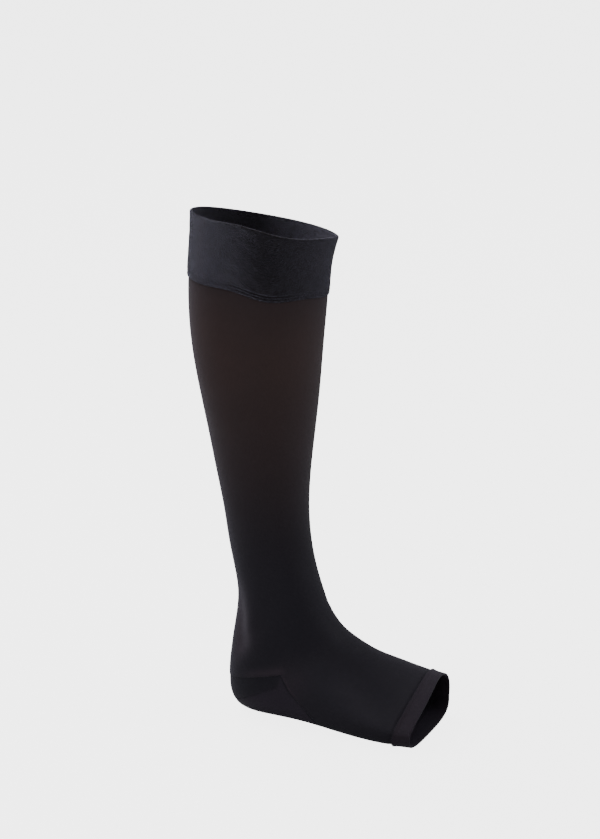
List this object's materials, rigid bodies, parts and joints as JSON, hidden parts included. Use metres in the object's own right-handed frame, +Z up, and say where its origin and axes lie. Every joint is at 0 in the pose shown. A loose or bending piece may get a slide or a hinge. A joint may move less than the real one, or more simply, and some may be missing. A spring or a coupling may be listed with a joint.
{
  "type": "compression stocking",
  "caption": "Hollow knee-length stocking of dense knit with a raised knee band, a heel pocket and an open toe, shaped as worn.",
  "frame": {"origin": "centre of the rim, where the stocking takes the wearer's leg", "axes": "+X points to the toes, +Y to the inner side of a right foot, +Z up along the leg"},
  "size_m": [0.216, 0.1142, 0.4412],
  "materials": {
    "band_knit": "matt crepe-like elastic knit",
    "leg_knit": "fine dense knit with a satin sheen",
    "heel_knit": "fine dense knit with a satin sheen",
    "toe_knit": "turned double knit with a satin sheen"
  },
  "bodies": {
    "root": {"top_band": "band_knit", "leg_foot": "leg_knit", "heel": "heel_knit", "toe_band": "toe_knit"}
  },
  "joints": []
}
